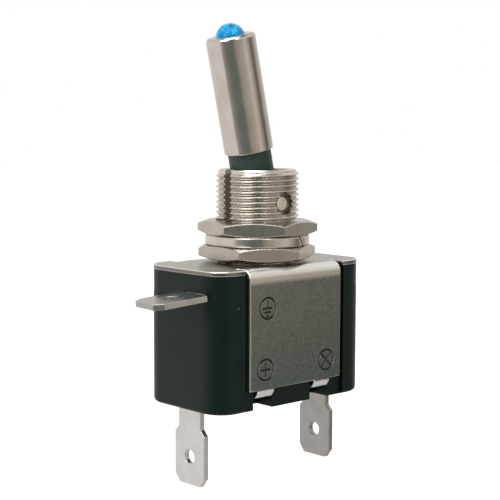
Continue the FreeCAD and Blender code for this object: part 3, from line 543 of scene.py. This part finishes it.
def cylinder_cutter(radius, depth, middle, turn):
    """A cylinder to cut with, turned from the Z axis."""
    bpy.ops.mesh.primitive_cylinder_add(vertices=64, radius=radius, depth=depth)
    cutter = bpy.context.object
    cutter.matrix_world = Matrix.Translation(middle) @ turn
    return cutter


def block_cutter(low, high):
    """A block to cut with."""
    bpy.ops.mesh.primitive_cube_add(size=1)
    cutter = bpy.context.object
    cutter.matrix_world = Matrix.Translation((low + high) / 2) @ Matrix.Diagonal((*(high - low), 1))
    return cutter


def settle_modifiers(piece, cutters=()):
    """Make the modifiers part of the mesh, and take the cutters away."""
    evaluated = piece.evaluated_get(bpy.context.evaluated_depsgraph_get())
    settled = bpy.data.meshes.new_from_object(evaluated)
    piece.modifiers.clear()
    piece.data = settled
    for cutter in cutters:
        bpy.data.objects.remove(cutter)


# Sizes and colours that a user would change

def length_setting(name, description, default):
    """A setting that holds a length."""
    return bpy.props.FloatProperty(name=name, description=description, default=default, unit="LENGTH")


def power_setting(name, description, default):
    """A setting that holds a lamp's power."""
    return bpy.props.FloatProperty(name=name, description=description, default=default, unit="POWER")


def colour_setting(name, description, hex_code):
    """A setting that holds a colour."""
    return bpy.props.FloatVectorProperty(
        name=name, description=description, default=linear(hex_code)[:3], subtype="COLOR")


def opaque(shade):
    """A setting's colour as RGBA."""
    return (*shade, 1.0)


class ThreadSettings(bpy.types.PropertyGroup):
    """The bushing's thread and what is cut across it."""
    pitch: length_setting("Pitch", "Rise of the thread in one turn", 0.75 * MM)
    diameter: length_setting("Diameter", "Thread diameter over its crests", 12.0 * MM)
    bore: length_setting("Bore", "Diameter of the bushing's bore", 9.2 * MM)
    rim_chamfer: length_setting("Rim chamfer", "Chamfer at the bushing's mouth", 0.55 * MM)
    keyway_width: length_setting("Keyway width", "Width of the slot down the thread", 1.4 * MM)
    keyway_depth: length_setting("Keyway depth", "Depth of the slot below the crests", 1.0 * MM)
    pin_hole: length_setting("Pin hole", "Diameter of the cross hole", 2.2 * MM)
    pin_counterbore: length_setting("Pin counterbore", "Diameter of the recess at the pin's ends", 3.05 * MM)
    pin_recess: length_setting("Pin recess", "Depth of that recess", 0.8 * MM)


class RoundingSettings(bpy.types.PropertyGroup):
    """How far each kind of edge is rounded."""
    moulded: length_setting("Moulded edges", "Rounding of the housing's edges", 0.15 * MM)
    sheared: length_setting("Sheared edges", "Rounding of the bracket's edges", 0.18 * MM)
    blades: length_setting("Blade edges", "Rounding of the terminals' edges", 0.08 * MM)
    nuts: length_setting("Nut edges", "Rounding of the nuts' edges", 0.09 * MM)
    washer: length_setting("Washer edges", "Rounding of the lock washer's edges", 0.28 * MM)
    sleeve: length_setting("Sleeve edges", "Rounding of the sleeve's mouth and foot", 0.12 * MM)
    lever: length_setting("Lever edges", "Rounding of the lever's shaft", 0.1 * MM)
    pin: length_setting("Pin ends", "Rounding of the pivot pin's ends", 0.35 * MM)
    inner: length_setting("Inner edges", "Rounding of the plunger, the rocker and the contacts", 0.05 * MM)


class FinishSettings(bpy.types.PropertyGroup):
    """The colours of the mouldings and the lamp."""
    housing: colour_setting("Housing", "Colour of the nylon base and cover", "#0a1613")
    housing_shade: colour_setting("Housing shade", "Darker tone in the same nylon", "#07110e")
    lever: colour_setting("Lever", "Colour of the lever's phenolic shaft", "#33443d")
    lever_shade: colour_setting("Lever shade", "Darker tone in the same phenolic", "#2c3b35")
    lamp: colour_setting("Lamp", "Colour of the lamp's epoxy", "#1290c6")
    lamp_deep: colour_setting("Lamp depths", "Deeper tone between the pools of light", "#0a78b0")
    lamp_pale: colour_setting("Lamp pools", "Paler tone where light pools in the dome", "#42b8de")


class StudioSettings(bpy.types.PropertyGroup):
    """The floor, the lamps and the world."""
    floor_colour: colour_setting("Floor", "Colour of the floor", "#f2f2f0")
    floor_drop: length_setting("Floor drop", "How far the floor lies below the held switch", 45 * MM)
    key_power: power_setting("Key lamp", "Power of the soft key lamp", 0.55)
    side_power: power_setting("Side lamp", "Power of the small lamp on the right", 0.10)
    top_power: power_setting("Top lamp", "Power of the soft lamp overhead", 0.95)
    surround: bpy.props.FloatProperty(
        name="Surround", description="Strength of the light that the studio's walls give", default=0.92)


SETTINGS = {
    "switch_thread": ThreadSettings,
    "switch_rounding": RoundingSettings,
    "switch_finish": FinishSettings,
    "switch_studio": StudioSettings,
}


# The pieces

def thread_profile(pitch, crest_radius):
    """One turn of a metric thread as (share of the turn, radius), its corners eased as by plating."""
    root_radius = crest_radius - THREAD_DEPTH * pitch
    ease = 0.035 * pitch
    return [
        (0.000, crest_radius - ease),
        (0.035, crest_radius),
        (0.090, crest_radius),
        (0.125, crest_radius - ease),
        (0.425, root_radius + ease),
        (0.475, root_radius),
        (0.650, root_radius),
        (0.700, root_radius + ease),
    ]


def bushing_rings(sizes):
    """The threaded bushing as rings, from its foot up the thread, over the rim and down the bore."""
    crest = sizes.diameter / 2
    root = crest - THREAD_DEPTH * sizes.pitch
    bore = sizes.bore / 2
    rim = crest - sizes.rim_chamfer
    # The columns stand two degrees apart, and the last closes the ring on the first
    columns = 181
    turns = [2 * math.pi * column / (columns - 1) for column in range(columns)]

    def level_ring(radius, height):
        return [(radius * math.cos(t), radius * math.sin(t), height) for t in turns]

    foot = [(bore, SWAGE_BOTTOM), (SWAGE_RADIUS, SWAGE_BOTTOM), (SWAGE_RADIUS, PLATE_BOTTOM),
            (NECK_RADIUS, PLATE_BOTTOM), (NECK_RADIUS, PLATE_TOP)]
    rings = [level_ring(*corner) for corner in foot]
    profile = thread_profile(sizes.pitch, crest)
    # The helix starts below the plate and ends above the rim, and is held between the two
    first_turn = math.floor(PLATE_TOP / sizes.pitch) - 2
    last_turn = math.ceil(BUSHING_TOP / sizes.pitch) + 1
    for turn in range(first_turn, last_turn):
        for rise, radius in profile:
            ring = []
            for t in turns:
                height = sizes.pitch * (turn + rise + t / (2 * math.pi))
                height = min(max(height, PLATE_TOP), BUSHING_TOP)
                held = min(radius, rim + (BUSHING_TOP - height))
                if height == PLATE_TOP:
                    held = root
                ring.append((held * math.cos(t), held * math.sin(t), height))
            rings.append(ring)
    inner_ease = 0.15 * MM
    rings.append(level_ring(bore + inner_ease, BUSHING_TOP))
    rings.append(level_ring(bore, BUSHING_TOP - inner_ease))
    rings.append(level_ring(bore, SWAGE_BOTTOM))
    return rings


class SWITCH_OT_bushing(bpy.types.Operator):
    """Cut the bushing's thread, keyway and cross hole, and plate it"""
    bl_idname = "switch.bushing"
    bl_label = "Threaded Bushing"

    def execute(self, context):
        sizes = context.scene.switch_thread
        piece = closed_mesh("bushing_with_thread", bushing_rings(sizes))
        crest = sizes.diameter / 2
        root = crest - THREAD_DEPTH * sizes.pitch
        piece.data.materials.append(plated_thread(crest, root))
        # The counterbores at the pin's ends are painted darker, as painted shade in the recess
        recess_shade = turned_metal("Shaded nickel plate in the recess", "#8a877a", "#6c6a5f",
                              roughness=0.45, grain_mm=0.3)
        past = 1.0 * MM
        keyway = block_cutter(
            Vector((-crest - past, -sizes.keyway_width / 2, PLATE_TOP)),
            Vector((-crest + sizes.keyway_depth, sizes.keyway_width / 2, BUSHING_TOP + past)))
        sideways = Matrix.Rotation(math.pi / 2, 4, "X")
        cutters = [keyway, cylinder_cutter(sizes.pin_hole / 2, 2 * (crest + past), PIVOT, sideways)]
        for side in (-1, 1):
            middle = PIVOT + Vector((0, side * (crest - sizes.pin_recess + past), 0))
            recess = cylinder_cutter(sizes.pin_counterbore / 2, 2 * past, middle, sideways)
            recess.data.materials.append(recess_shade)
            cutters.append(recess)
        weld = piece.modifiers.new("Weld", "WELD")
        weld.merge_threshold = 0.002 * MM
        for cutter in cutters:
            cut = piece.modifiers.new("Cut", "BOOLEAN")
            cut.operation = "DIFFERENCE"
            cut.solver = "EXACT"
            cut.object = cutter
            cut.material_mode = "TRANSFER" if cutter.data.materials else "INDEX"
        settle_modifiers(piece, cutters)
        piece.data.shade_smooth()
        piece.data.set_sharp_from_angle(angle=math.radians(48))
        normals = piece.modifiers.new("Normals", "WEIGHTED_NORMAL")
        normals.keep_sharp = True
        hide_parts("threaded_bushing")
        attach(piece, "switch_body")
        # The pin's tone is painted near white, lighter than its brass, as a painted highlight
        pin = turned_metal("Cropped brass rod", "#fff8e8", "#f2e9d0", roughness=0.55, grain_mm=0.35)
        dress(["pivot_pin"], pin, context.scene.switch_rounding.pin)
        return {"FINISHED"}


class SWITCH_OT_nuts(bpy.types.Operator):
    """Plate the two nuts and the split lock washer between them"""
    bl_idname = "switch.nuts"
    bl_label = "Nuts and Lock Washer"

    def execute(self, context):
        rounding = context.scene.switch_rounding
        # Cut from hexagon bar, so faint drawing lines run along the flats
        nuts = nickel_plate("Nickel-plated hexagon bar", "#cdc6be", "#c0b9b0", roughness=0.27,
                            roughness_spread=0.03, grain_mm=0.3, dent_mm=0.9, dent_depth_mm=0.006,
                            direction=(1, 1, 0.15))
        dress(["upper_nut", "lower_nut"], nuts, rounding.nuts)
        ring = nickel_plate("Nickel-plated spring steel", "#e0dbd3", "#cec8be", roughness=0.20,
                            roughness_spread=0.03, grain_mm=0.3, dent_mm=1.2, dent_depth_mm=0.008)
        dress(["lock_washer"], ring, rounding.washer)
        return {"FINISHED"}


class SWITCH_OT_bracket(bpy.types.Operator):
    """Finish the folded bracket"""
    bl_idname = "switch.bracket"
    bl_label = "Mounting Bracket"

    def execute(self, context):
        rounding = context.scene.switch_rounding.sheared
        dress(["mounting_bracket"], bracket_steel(), rounding, unmarked_edges())
        return {"FINISHED"}


class SWITCH_OT_housing(bpy.types.Operator):
    """Finish the moulded base and cover"""
    bl_idname = "switch.housing"
    bl_label = "Housing"

    def execute(self, context):
        finish = context.scene.switch_finish
        nylon = moulded_nylon(opaque(finish.housing), opaque(finish.housing_shade))
        dress(["lower_housing", "upper_housing"], nylon, context.scene.switch_rounding.moulded)
        return {"FINISHED"}


class SWITCH_OT_lever(bpy.types.Operator):
    """Finish the lever, its sleeve and its lamp"""
    bl_idname = "switch.lever"
    bl_label = "Lever and Lamp"

    def execute(self, context):
        rounding = context.scene.switch_rounding
        finish = context.scene.switch_finish
        shaft = moulded_phenolic(opaque(finish.lever), opaque(finish.lever_shade))
        dress(["toggle_lever"], shaft, rounding.lever)
        # Drawn along its length and polished before plating, so its streaks run down the tube
        sleeve = nickel_plate("Polished nickel-plated tube", "#dcd5ce", "#d0c8c0", roughness=0.13,
                              roughness_spread=0.02, grain_mm=0.5, dent_mm=2.5, dent_depth_mm=0.008,
                              direction=(1, 1, 0.12))
        dress(["lever_sleeve"], sleeve, rounding.sleeve)
        lamp = lamp_epoxy(opaque(finish.lamp_deep), opaque(finish.lamp), opaque(finish.lamp_pale))
        dress(["led_lamp"], lamp)
        return {"FINISHED"}


class SWITCH_OT_terminals(bpy.types.Operator):
    """Finish the three blade terminals"""
    bl_idname = "switch.terminals"
    bl_label = "Terminals"

    def execute(self, context):
        rounding = context.scene.switch_rounding.blades
        # The power and load blades are the same tin: painted lighter on the power blade as a highlight, darker
        # on the load blade as shade
        bright = tinned_brass("Tin-plated brass strip", "#e9e7e5", "#dfdddb", roughness=0.36)
        dress(["power_terminal"], bright, rounding)
        shaded_tin = tinned_brass("Shaded tin-plated brass strip", "#b8b5b2", "#aaa7a4", roughness=0.36)
        dress(["load_terminal"], shaded_tin, rounding)
        rolled = tinned_brass("Rolled tin-plated brass strip", "#c3c1be", "#b6b4b1", roughness=0.30)
        dress(["ground_terminal"], rolled, rounding)
        return {"FINISHED"}


class SWITCH_OT_inner_works(bpy.types.Operator):
    """Finish the plunger, its spring, the rocker, the contacts and the lamp's wiring"""
    bl_idname = "switch.inner_works"
    bl_label = "Inner Works"

    def execute(self, context):
        rounding = context.scene.switch_rounding.inner
        brass = turned_metal("Turned brass rod", "#d8b76a", "#b3914c", roughness=0.25, grain_mm=0.3)
        dress(["plunger"], brass, rounding)
        copper = turned_metal("Stamped beryllium copper", "#d79a6c", "#b47a52",
                              roughness=0.32, grain_mm=0.4)
        dress(["rocker_contact"], copper, rounding)
        silver = turned_metal("Riveted contact silver", "#e6e3dc", "#cfcbc2", roughness=0.28, grain_mm=0.3)
        dress(["moving_contact_button", "fixed_contact_button"], silver, rounding)
        wire = turned_metal("Tinned copper wire", "#d5d2cc", "#bcb8b0", roughness=0.3, grain_mm=0.2)
        dress(["led_anode_lead", "led_cathode_lead"], wire)
        spring = turned_metal("Drawn spring steel", "#bdbbb6", "#a09e99", roughness=0.3, grain_mm=0.2)
        dress(["plunger_spring"], spring)
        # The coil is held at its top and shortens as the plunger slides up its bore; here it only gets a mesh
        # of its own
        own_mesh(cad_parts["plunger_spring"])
        dress(["led_resistor"], resistor_lacquer())
        return {"FINISHED"}


# The studio

def studio_world(surround):
    """White to the camera. The switch sees a light tent with a dark gap where the camera stands and
    a narrow dark edge at its right side. Its roof is pale, with an opening, and so is the table under
    it. Headings are degrees from the camera, and heights are the sine of the angle above level."""
    world = bpy.data.worlds.new("Light tent")
    world.use_nodes = True
    tree = world.node_tree
    tree.nodes.clear()
    outward = add_node(tree, "ShaderNodeTexCoord").outputs["Generated"]
    turned = add_node(tree, "ShaderNodeMapping", {
        "Vector": outward, "Rotation": (0, 0, -CAMERA_HEADING)}).outputs[0]
    heading = add_node(tree, "ShaderNodeTexGradient", {
        "Vector": turned}, gradient_type="RADIAL").outputs["Fac"]
    height = add_node(tree, "ShaderNodeSeparateXYZ", {"Vector": outward}).outputs["Z"]

    def at(degrees):
        """The gradient's value at that many degrees from the camera."""
        return 0.5 + degrees / 360

    walls = add_node(tree, "ShaderNodeValToRGB", {"Fac": heading})
    set_stops(walls, [
        (at(-180), linear("#efece9")),
        (at(-54), linear("#efece9")),
        (at(-45), linear("#a1a39c")),
        (at(-24), linear("#80857e")),
        (at(-12), linear("#757e78")),
        (at(4), linear("#757e78")),
        (at(24), linear("#aca69c")),
        (at(46), linear("#c0b9b0")),
        (at(66), linear("#dcd6cd")),
        (at(84), linear("#b3aea5")),
        (at(95), linear("#777971")),
        (at(106), linear("#777971")),
        (at(116), linear("#b2afa8")),
        (at(132), linear("#cfccc7")),
        (at(152), linear("#dedbd7")),
        (at(180), linear("#efece9")),
    ], "EASE")
    roof = add_node(tree, "ShaderNodeMapRange", {
        "Value": height, "From Min": 0.11, "From Max": 0.38}, interpolation_type="SMOOTHSTEP").outputs[0]
    gap = mask(tree, [(heading, at(-20), at(-8)), (heading, at(18), at(6)), (height, 0.72, 0.55)])
    opening = mask(tree, [(height, 0.78, 0.90)])
    table = mask(tree, [(height, -0.50, -0.62)])
    tent = layered(tree, walls.outputs[0], [
        (roof, linear("#e4e2de")),
        (gap, linear("#757e78")),
        (opening, linear("#7b7c76")),
        (table, linear("#cfcdc9"))])
    tent_light = add_node(tree, "ShaderNodeBackground", {"Color": tent, "Strength": surround})
    white = add_node(tree, "ShaderNodeBackground", {"Color": (1, 1, 1, 1), "Strength": 1.0})
    path = add_node(tree, "ShaderNodeLightPath")
    shown = add_node(tree, "ShaderNodeMixShader", {
        0: path.outputs["Is Camera Ray"], 1: tent_light.outputs[0], 2: white.outputs[0]})
    add_node(tree, "ShaderNodeOutputWorld", {"Surface": shown.outputs[0]})
    return world


def studio_floor(colour, height):
    """A plain pale floor. It adds its own white only to what the camera sees, and keeps the shadow.
    Polished metal sees the tent through it, as it would over a floor that ends in front of it."""
    bpy.ops.mesh.primitive_plane_add(size=4.0, location=(0, 0, height))
    floor = bpy.context.object
    floor.name = "floor"
    material, tree = new_material("Matt white paper")
    paper = add_node(tree, "ShaderNodeBsdfPrincipled", {
        "Base Color": opaque(colour), "Roughness": 0.9, "Specular IOR Level": 0.1})
    lift = add_node(tree, "ShaderNodeEmission", {"Color": (1, 1, 1, 1), "Strength": 0.62})
    lifted = add_node(tree, "ShaderNodeAddShader", {0: paper.outputs[0], 1: lift.outputs[0]})
    nothing = add_node(tree, "ShaderNodeBsdfTransparent")
    path = add_node(tree, "ShaderNodeLightPath")
    shown = add_node(tree, "ShaderNodeMixShader", {
        0: path.outputs["Is Camera Ray"], 1: paper.outputs[0], 2: lifted.outputs[0]})
    seen = add_node(tree, "ShaderNodeMixShader", {
        0: path.outputs["Is Glossy Ray"], 1: shown.outputs[0], 2: nothing.outputs[0]})
    close_material(tree, seen)
    floor.data.materials.append(material)


def soft_lamp(name, place, side, power):
    """A square soft lamp that faces the switch."""
    light = bpy.data.lights.new(name, "AREA")
    light.shape = "SQUARE"
    light.size = side
    light.energy = power
    lamp = bpy.data.objects.new(name, light)
    lamp.location = place
    lamp.rotation_mode = "QUATERNION"
    lamp.rotation_quaternion = (-place).to_track_quat("-Z", "Y")
    bpy.context.scene.collection.objects.link(lamp)


def photo_camera():
    """The camera at the photograph's viewpoint."""
    lens = bpy.data.cameras.new("photo_camera")
    lens.lens = CAMERA_LENS
    lens.sensor_width = SENSOR_WIDTH
    lens.clip_start = 0.01
    lens.clip_end = 20
    camera = bpy.data.objects.new("photo_camera", lens)
    up = CAMERA_BACK.cross(CAMERA_RIGHT)
    turn = Matrix((CAMERA_RIGHT, up, CAMERA_BACK)).transposed()
    camera.matrix_world = Matrix.Translation(CAMERA_PLACE) @ turn.to_4x4()
    bpy.context.scene.collection.objects.link(camera)
    bpy.context.scene.camera = camera


class SWITCH_OT_stage(bpy.types.Operator):
    """Set the floor, the soft lamps, the light tent and the camera"""
    bl_idname = "switch.stage"
    bl_label = "Studio"

    def execute(self, context):
        studio = context.scene.switch_studio
        context.scene.view_settings.view_transform = "Standard"
        context.scene.world = studio_world(studio.surround)
        studio_floor(studio.floor_colour, cad_low.z - studio.floor_drop)
        soft_lamp("key_lamp", place=Vector((-0.33, -0.07, 0.22)), side=0.22, power=studio.key_power)
        soft_lamp("side_lamp", place=Vector((-0.095, -0.285, 0.22)), side=0.09, power=studio.side_power)
        soft_lamp("top_lamp", place=Vector((-0.13, -0.07, 0.40)), side=0.30, power=studio.top_power)
        photo_camera()
        return {"FINISHED"}


# The panel and the run

OPERATORS = (
    SWITCH_OT_stage,
    SWITCH_OT_housing,
    SWITCH_OT_bracket,
    SWITCH_OT_bushing,
    SWITCH_OT_nuts,
    SWITCH_OT_lever,
    SWITCH_OT_terminals,
    SWITCH_OT_inner_works,
)


class SWITCH_PT_panel(bpy.types.Panel):
    """The switch's pieces and settings"""
    bl_idname = "SWITCH_PT_panel"
    bl_label = "Toggle Switch"
    bl_space_type = "VIEW_3D"
    bl_region_type = "UI"
    bl_category = "Toggle Switch"

    def draw(self, context):
        for operator in OPERATORS:
            self.layout.operator(operator.bl_idname)
        for name, group in SETTINGS.items():
            box = self.layout.box()
            for setting in group.__annotations__:
                box.prop(getattr(context.scene, name), setting)


def register():
    for group in SETTINGS.values():
        bpy.utils.register_class(group)
    for name, group in SETTINGS.items():
        setattr(bpy.types.Scene, name, bpy.props.PointerProperty(type=group))
    for operator in OPERATORS:
        bpy.utils.register_class(operator)
    bpy.utils.register_class(SWITCH_PT_panel)


def unregister():
    bpy.utils.unregister_class(SWITCH_PT_panel)
    for operator in reversed(OPERATORS):
        bpy.utils.unregister_class(operator)
    for name, group in SETTINGS.items():
        delattr(bpy.types.Scene, name)
        bpy.utils.unregister_class(group)


def main():
    register()
    bpy.ops.switch.stage()
    bpy.ops.switch.housing()
    bpy.ops.switch.bracket()
    bpy.ops.switch.bushing()
    bpy.ops.switch.nuts()
    bpy.ops.switch.lever()
    bpy.ops.switch.terminals()
    bpy.ops.switch.inner_works()


if __name__ == "__main__":
    main()
